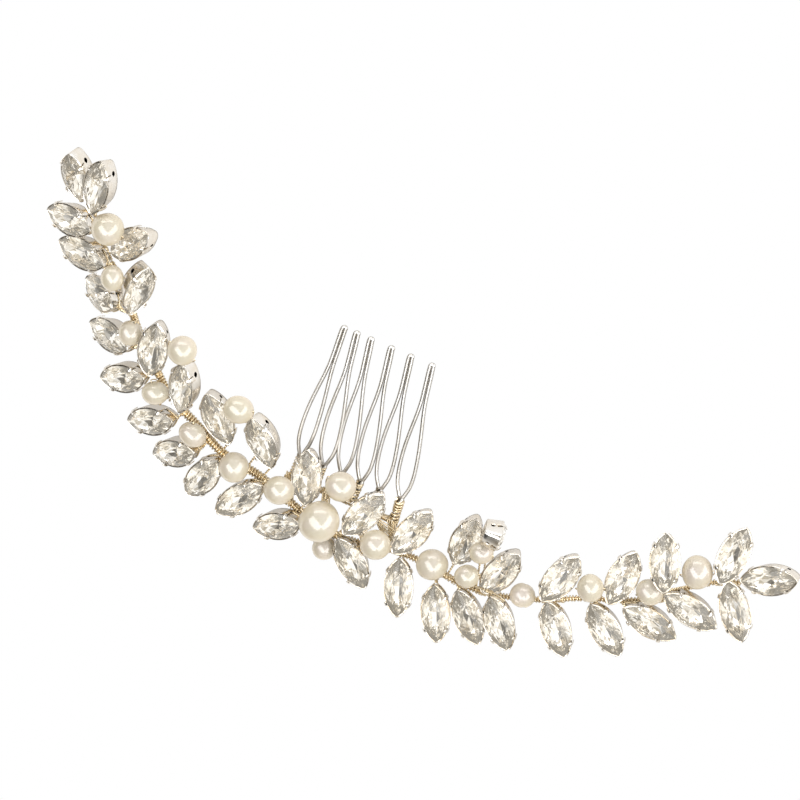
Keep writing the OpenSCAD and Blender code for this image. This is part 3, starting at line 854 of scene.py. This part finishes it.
# %% Stem
STEM_THICK = [0.38, 0.5, 0.66, 0.84, 0.86, 0.76, 0.6, 0.48, 0.42, 0.4, 0.36]
STEM_RINGS = 400
BINDING_R, BINDING_PITCH, BINDING_PROUD = 0.24, 0.8, 0.8
core_r = np.interp(np.linspace(0, 1, STEM_RINGS), np.linspace(0, 1, len(STEM_THICK)), STEM_THICK)
core = tube(evenly(stem_line, STEM_RINGS), core_r, sides=10)
coil, outward = wound(stem_line, core_r + BINDING_R * BINDING_PROUD, BINDING_PITCH, wobble=0.09, seed=4)
binding = tube(coil, BINDING_R, sides=5, across=outward)
# The core wears the darker gold: painted shade between the binding's turns.
add_piece("stem_core", core, [shaded], ["stem"], crease=60)
add_piece("stem_binding", binding, [gold], ["stem"], crease=80)

# %% Stalks
# Where each leaf's stalk leaves the stem, as a station of the route.
LEAF_ROOTS = [0.05, 0.2, 0.75, 1.47, 1.1, 2.85, 2.65, 3.45, 4.2, 4.25, 5.4, 5.5, 6.95,
              6.5, 7.0, 8.1, 8.45, 9.75, 9.3, 10.35, 10.5, 12.15, 11.95, 13.3, 13.5, 14.5,
              14.5, 13.85, 13.3, 16.1, 16.45, 17.25, 17.7, 20.1, 18.05, 19.0, 20.5, 21.0, 20.65]
WIRE_DROP, WIRE_SHORT = 0.6 * CUP_H, 0.2
WALL_IN = LEAN * 2 * SETTING_R / SETTING_L * WIRE_DROP
HOLD = np.array([-SETTING_L / 2 + WALL_IN - WIRE_SHORT, 0, -WIRE_DROP])
STRAND_R, THREAD_R = 0.15, 0.14
TWIST_R, TWIST_PITCH = 0.16, 1.5
# No stalk runs this way, so a cross product with it gives a direction across any stalk.
ASKEW = [0.31, 0.2, 0.93]


def twisted_pair(places):
    """Two strands round a line through the places, half a turn apart."""
    line = evenly(smooth_line(places, steps=6), 12)
    across = np.cross(line[-1] - line[0], ASKEW)
    coils = [wound(line, TWIST_R, TWIST_PITCH, phase, across=across, per_turn=12) for phase in (0, np.pi)]
    return joined([tube(coil, STRAND_R, sides=6, across=out) for coil, out in coils])


holds = [on_leaf(HOLD[None], leaf)[0] for leaf in leaves]
stalks = [twisted_pair([stem_at(root), hold]) for root, hold in zip(LEAF_ROOTS, holds)]
add_piece("crystal_stalks", joined(stalks), [gold], ["stem"], crease=60)

# %% Knots where a stalk leaves the stem and where it meets its setting
KNOT_HALF, KNOT_R, KNOT_PITCH = 0.13, 0.86, 0.42
COLLAR_LONG, COLLAR_R, COLLAR_OVER = 1.7, 0.42, 0.1
LONG_STALK = 1.5 * COLLAR_LONG


def knot(station, seed):
    """A few loose turns round the stem, either side of a station."""
    rng = np.random.default_rng(seed)
    half = KNOT_HALF * rng.uniform(0.8, 1.3)
    line = np.array([stem_at(station + share * half) for share in np.linspace(-1, 1, 7)])
    coil, out = wound(line, KNOT_R, KNOT_PITCH, rng.uniform(0, 6), per_turn=12, wobble=0.3, seed=seed)
    return tube(coil, STRAND_R, sides=5, across=out)


def collar(start, end, seed):
    """Turns round the last stretch of a stalk."""
    way = unit(end - start)
    line = evenly(np.array([end - COLLAR_LONG * way, end + COLLAR_OVER * way]), 6)
    coil, out = wound(line, COLLAR_R, KNOT_PITCH, seed, across=np.cross(way, ASKEW), wobble=0.2, seed=seed)
    return tube(coil, THREAD_R, sides=5, across=out)


knots = [knot(root, seed) for seed, root in enumerate(LEAF_ROOTS)]
for seed, (root, hold) in enumerate(zip(LEAF_ROOTS, holds)):
    if np.linalg.norm(hold - stem_at(root)) > LONG_STALK:
        knots.append(collar(stem_at(root), hold, seed))
add_piece("knots", joined(knots), [gold], ["stem"], crease=60)

# %% Threads through the settings and the pearls
THREAD_LEAD, THREAD_TURN, THREAD_IN = 0.6, 0.3, 0.92
PEARL_TIE, PEARL_IN = 0.3, 1.02
HUG_GAP, HUG_START, HUG_END = 0.03, 0.12, np.pi / 2 - 0.22
# Two pearls stand far out. Their wires pass behind the leaf beside them: pearl and leaf, from the left.
BEHIND = {4: 8, 6: 15}
BEHIND_DROP = CUP_H + 1.2


def wall_at(x, z):
    """How far the outside of a setting's wall is from its long axis."""
    r, off = SETTING_R + z * LEAN, SETTING_R - SETTING_W / 2
    return fuller(x, np.sqrt(r**2 - x**2) - off, 2 * np.sqrt(r**2 - off**2), 2 * (r - off))


def hole_thread(leaf):
    """From the hold point along the wall, through the two inner thread holes, and back."""
    x = np.linspace(HOLD[0] + THREAD_LEAD, -HOLE_PLACE - THREAD_TURN, 4)
    beside = np.column_stack([x, wall_at(x, HOLE_DROP) + THREAD_R, np.full(4, HOLE_DROP)])
    through = wall_at(HOLE_PLACE, HOLE_DROP) * np.linspace(THREAD_IN, -THREAD_IN, 4)
    across = np.column_stack([np.full(4, -HOLE_PLACE), through, np.full(4, HOLE_DROP)])
    loop = np.concatenate([[HOLD], beside, across, beside[::-1] * [1, -1, 1], [HOLD]])
    return tube(on_leaf(smooth_line(loop, steps=4), leaf), THREAD_R, sides=6, across=leaf[1][:, 2])


def pearl_thread(middle, radius, root):
    """From the underside round one end of the bore, through it, and back round the other end."""
    bore, down = bore_of(middle, root), unit(root - middle)
    a = np.linspace(HUG_START, HUG_END, 5)[:, None]
    hug = (radius + THREAD_R + HUG_GAP) * (np.cos(a) * down + np.sin(a) * bore)
    inside = np.linspace(PEARL_IN, -PEARL_IN, 5)[:, None] * radius * bore
    other = hug[::-1] - 2 * (hug[::-1] @ bore)[:, None] * bore
    tied = down[None] * (radius + PEARL_TIE)
    line = middle + np.concatenate([tied, hug, inside, other, tied])
    return tube(smooth_line(line, steps=4), THREAD_R, sides=6, across=np.cross(bore, down))


threads = [hole_thread(leaf) for leaf in leaves]
for balls in pearls.values():
    for middle, radius, root in balls:
        order = from_left.index(middle[0])
        places = [root, middle + unit(root - middle) * (radius + PEARL_TIE)]
        if order in BEHIND:
            origin, axes = leaves[BEHIND[order]]
            places.insert(1, origin - BEHIND_DROP * axes[:, 2])
        threads.append(twisted_pair(places))
        threads.append(pearl_thread(middle, radius, root))
add_piece("threads", joined(threads), [gold], ["stem"], crease=60)

# %% [markdown]
# ## The comb
# The comb is one kind of silver wire. Each tooth is a hairpin: two legs from the bar
# that bow out, run together and turn in a narrow tip. Below the loop the legs are
# twisted into a neck. Gold wire is wound round the bar and each neck, lashes the bar
# to the stem, and fans out in loose strands from the bar's right end. Wire that is
# wound by hand never lies quite even, so its turns get small seeded shifts.

# %% Teeth
TEETH, TOOTH_PITCH, TOOTH_L, NECK_L = 6, 5.4, 43.0, 7.0
TOOTH_D, BAR_D, WIRE_FIT = 0.95, 1.8, 0.12
BAR_R = TOOTH_D * 0.7
BAR_Z = BAR_D / 2 + WIRE_FIT
BAR_HALF = (TEETH - 1) / 2 * TOOTH_PITCH + BAR_D
NECK_OVER, NECK_TWIST = 0.3, 5.2
# For each tooth: the root's and the tip's shift in pitches, and how wide its right leg bows.
TOOTH_BENDS = [(0.0, -0.04, 0.75), (0.15, -0.08, 1.05), (0.05, -0.14, 1.0),
               (0.0, 0.0, 1.0), (-0.05, 0.0, 1.0), (0.0, -0.02, 1.0)]
TIP_LEAN = (-0.95, -0.15, 0.05)
# Share of the length from neck to tip, and how far out the left and the right leg are there.
LOOP_SHAPE = np.array([
    [0.0, 0.08, 0.08], [0.04, 0.2, 0.18], [0.1, 0.33, 0.3], [0.2, 0.4, 0.36],
    [0.35, 0.38, 0.33], [0.5, 0.27, 0.24], [0.62, 0.16, 0.15], [0.72, 0.1, 0.1],
    [0.82, 0.09, 0.09], [0.92, 0.09, 0.09], [0.98, 0.08, 0.08], [1.0, 0.03, 0.03]])


def tooth_root(i):
    """Where a tooth stands on the bar, in mm from the bar's middle."""
    return TOOTH_PITCH * (i - (TEETH - 1) / 2 + TOOTH_BENDS[i][0])


def tooth_leg(i, side):
    """Share by share of the length: the tooth's middle line plus or minus the loop's width."""
    place = i - (TEETH - 1) / 2
    tip = place + TIP_LEAN[0] + TIP_LEAN[1] * place + TIP_LEAN[2] * place**2 + TOOTH_BENDS[i][1]
    share, left, right_out = LOOP_SHAPE.T
    wide = -left if side < 0 else np.maximum(LOOP_SHAPE[0, 2], right_out * TOOTH_BENDS[i][2])
    root = tooth_root(i) / TOOTH_PITCH
    x = TOOTH_PITCH * (root + (tip - root) * share + wide)
    y = NECK_L + (TOOTH_L - NECK_L) * share
    return np.stack([x, y, BAR_Z + (TOOTH_D / 2 - BAR_Z) * share], axis=1)


teeth = []
for i in range(TEETH):
    corners = np.concatenate([tooth_leg(i, -1), tooth_leg(i, 1)[::-1]])
    teeth.append(tube(smooth_line(corners, steps=5), TOOTH_D / 2, sides=12))
    start, end = [tooth_root(i), 0, BAR_Z], [tooth_root(i), NECK_L + NECK_OVER, BAR_Z]
    neck_line = evenly(np.array([start, end]), 10)
    for phase in (0, np.pi):
        coil, out = wound(neck_line, TOOTH_D / 2, NECK_TWIST, phase, per_turn=16)
        teeth.append(tube(coil, TOOTH_D / 2, sides=10, across=out))
bar_line = np.array([[-BAR_HALF, 0, BAR_Z], [BAR_HALF, 0, BAR_Z]])
teeth.append(tube(evenly(bar_line, 40), BAR_R, sides=14))
add_piece("comb_teeth", joined(teeth), [silver], ["comb"], crease=60)

# %% Binding on the comb
BAR_WINDING_OUT, BAR_WINDING_PITCH = 0.12, 0.36
NECK_PITCH, NECK_FROM, NECK_TO = 0.88, 0.6, NECK_L - 0.4
# For each neck's winding: its low end's shift, its lift, its radius in wires, and its wire's radius.
NECK_WINDINGS = [(0.0, 0.2, 0.9, 0.25)] * (TEETH - 1) + [(0.6, 0.4, 1.05, 0.3)]

coil, out = wound(evenly(bar_line, 60), BAR_R + BAR_WINDING_OUT, BAR_WINDING_PITCH, wobble=0.08, seed=9)
bindings = [tube(coil, STRAND_R, sides=6, across=out)]
for i, (shift, lift, wires, wire_r) in enumerate(NECK_WINDINGS):
    neck_line = np.array([[tooth_root(i) + shift, NECK_FROM, BAR_Z + lift],
                          [tooth_root(i), NECK_TO, BAR_Z + lift]])
    coil, out = wound(evenly(neck_line, 20), TOOTH_D * wires, NECK_PITCH, wobble=0.12, per_turn=16,
                      seed=20 + i)
    bindings.append(tube(coil, wire_r, sides=8, across=out))
add_piece("comb_binding", joined(bindings), [gold], ["comb"], crease=80)

# %% Lashings between comb and stem
# Each lashing's station on the stem, and its place on the bar as a share of the bar's half.
TIES = [(9.0, -0.9), (10.1, -0.25), (11.2, 0.35), (12.0, 0.9)]
LASHES, LASH_STEP, LASH_ONWARD, LASH_LOOSE = 5, 0.42, 0.1, 0.06
LASH_BAR_R, LASH_STEM_R, LASH_SPREAD = 1.05, 1.0, 1.3
LOWEST_WIRE = 0.22
FAN, FAN_R, FAN_LOOSE, FAN_SEED = range(-1, 5), 0.2, 0.05, 61


def lashing(station, share, seed):
    """Turns of wire round both the bar and the stem: a long ring, moved along a little each turn."""
    rng = np.random.default_rng(seed)
    on_stem, on_bar = stem_at(station), np.array([share * BAR_HALF, 0, BAR_Z])
    way = unit(on_stem - on_bar)
    face = unit(np.cross(way, [1, 0, 0]))
    a = np.linspace(0.5, 1.5, 7)[:, None] * np.pi
    half_turn = np.cos(a) * way + np.sin(a) * face
    rings = []
    for lash in range(LASHES):
        shift = np.array([1, 0, 0]) * (lash - LASHES / 2) * LASH_STEP
        low = on_bar + shift + LASH_BAR_R * half_turn
        high = on_stem + shift * LASH_SPREAD - LASH_STEM_R * half_turn
        loop = np.concatenate([low, high, low[:1] + shift * LASH_ONWARD])
        loop += rng.normal(0, LASH_LOOSE, loop.shape)
        loop[:, 2] = np.maximum(loop[:, 2], LOWEST_WIRE)
        rings.append(tube(smooth_line(loop, steps=4), THREAD_R, sides=6, across=np.cross(way, face)))
    return joined(rings)


def fan_strand(n):
    """One loose wire of the fan between the bar's right end and the stem: a line through five places."""
    rng = np.random.default_rng(FAN_SEED + n)
    places = np.array([[9.6 - 0.1 * n, 0.0, 2.1], [11.0 + 0.2 * n, -0.7 - 0.5 * n, 2.7],
                       [14.2 + 0.1 * n, -1.5 - 0.62 * n, 3.3], [17.5, -3.0 - 0.6 * n, 3.3],
                       [20.5, -6.2, 3.3]])
    places += rng.normal(0, FAN_LOOSE, places.shape)
    return tube(evenly(smooth_line(places, steps=6), 24), FAN_R, sides=8)


lashings = [lashing(station, share, 30 + n) for n, (station, share) in enumerate(TIES)]
lashings += [fan_strand(n) for n in FAN]
add_piece("lashings", joined(lashings), [gold], ["stem"], crease=60)
